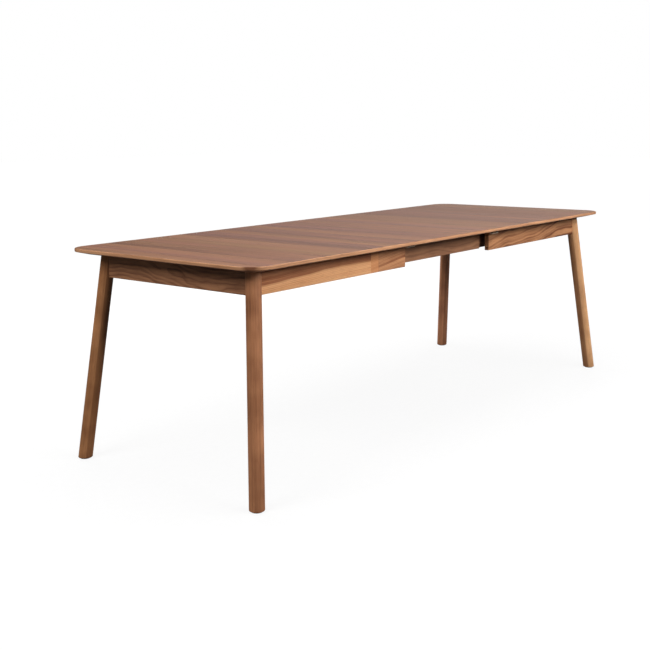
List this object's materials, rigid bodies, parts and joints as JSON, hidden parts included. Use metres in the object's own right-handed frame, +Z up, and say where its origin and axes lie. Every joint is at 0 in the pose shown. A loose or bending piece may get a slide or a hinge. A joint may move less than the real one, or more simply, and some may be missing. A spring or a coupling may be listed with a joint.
{
  "type": "extending dining table",
  "caption": "Rounded rectangular dining table on splayed round legs; its half tops slide apart on a centre frame to take a lift-out leaf.",
  "frame": {"origin": "on the floor, under the middle of the leaf", "axes": "+X to the right along the table, +Y to its back long side, +Z up"},
  "size_m": [2.4216, 0.9, 0.76],
  "materials": {
    "top_veneer": "walnut veneer with the grain across the table, satin lacquer",
    "lipping_walnut": "solid walnut lipping, satin lacquer",
    "apron_walnut": "solid walnut with a strong figure, satin lacquer",
    "fascia_walnut": "solid walnut, satin lacquer",
    "leg_walnut": "turned solid walnut with the grain along the leg, satin lacquer",
    "beam_timber": "dark stained hardwood, waxed where it slides",
    "inner_timber": "plain planed beech",
    "fastener_steel": "zinc plated",
    "plate_steel": "nickel plated",
    "rack_steel": "plain drawn steel",
    "pinion_nylon": "moulded nylon",
    "glide_plastic": "matt moulded plastic"
  },
  "bodies": {
    "centre_frame": {"beam_front": "beam_timber", "beam_back": "beam_timber", "fascia_front": "fascia_walnut", "fascia_back": "fascia_walnut", "cross_rail_left": "beam_timber", "cross_rail_middle": "beam_timber", "cross_rail_right": "beam_timber", "pinion_block": "inner_timber", "pinion_pin": "fastener_steel", "frame_screws": "fastener_steel", "slide_stops": "inner_timber"},
    "left_half": {"left_top": "top_veneer", "left_lipping": "lipping_walnut", "left_front_apron": "apron_walnut", "left_back_apron": "apron_walnut", "left_end_apron": "apron_walnut", "left_front_leg": "leg_walnut", "left_back_leg": "leg_walnut", "left_front_corner_block": "inner_timber", "left_back_corner_block": "inner_timber", "left_leg_bolts": "fastener_steel", "left_front_runner": "inner_timber", "left_back_runner": "inner_timber", "left_rack": "rack_steel", "left_fixing_blocks": "inner_timber", "left_screws": "fastener_steel", "left_rest_bars": "plate_steel", "left_spacers": "fastener_steel", "left_front_glide": "glide_plastic", "left_back_glide": "glide_plastic"},
    "right_half": {"right_top": "top_veneer", "right_lipping": "lipping_walnut", "right_front_apron": "apron_walnut", "right_back_apron": "apron_walnut", "right_end_apron": "apron_walnut", "right_front_leg": "leg_walnut", "right_back_leg": "leg_walnut", "right_front_corner_block": "inner_timber", "right_back_corner_block": "inner_timber", "right_leg_bolts": "fastener_steel", "right_front_runner": "inner_timber", "right_back_runner": "inner_timber", "right_rack": "rack_steel", "right_fixing_blocks": "inner_timber", "right_screws": "fastener_steel", "right_rest_bars": "plate_steel", "right_spacers": "fastener_steel", "right_front_glide": "glide_plastic", "right_back_glide": "glide_plastic"},
    "leaf": {"leaf_panel": "top_veneer", "leaf_lippings": "lipping_walnut", "leaf_batten_front": "inner_timber", "leaf_batten_back": "inner_timber", "leaf_screws": "fastener_steel", "leaf_pads": "glide_plastic"},
    "pinion": {"pinion": "pinion_nylon"}
  },
  "joints": [
    {"name": "left_slide", "type": "slide", "parent": "centre_frame", "child": "left_half", "axis": [1, 0, 0], "range_m": [0, 0.3]},
    {"name": "right_slide", "type": "slide", "parent": "centre_frame", "child": "right_half", "axis": [-1, 0, 0], "range_m": [0, 0.3]},
    {"name": "leaf_lift", "type": "slide", "parent": "centre_frame", "child": "leaf", "axis": [0, 0, 1], "range_m": [0, 0.6]},
    {"name": "pinion_turn", "type": "hinge", "parent": "centre_frame", "child": "pinion", "pos_m": [0, 0, 0.73], "axis": [0, 0, 1], "range_deg": [-688, 0]}
  ],
  "couplings": [
    {"joint": "right_slide", "follows": "left_slide", "ratio": 1},
    {"joint": "leaf_lift", "follows": "left_slide", "ratio": 2},
    {"joint": "pinion_turn", "follows": "left_slide", "rad_per_m": -40}
  ]
}
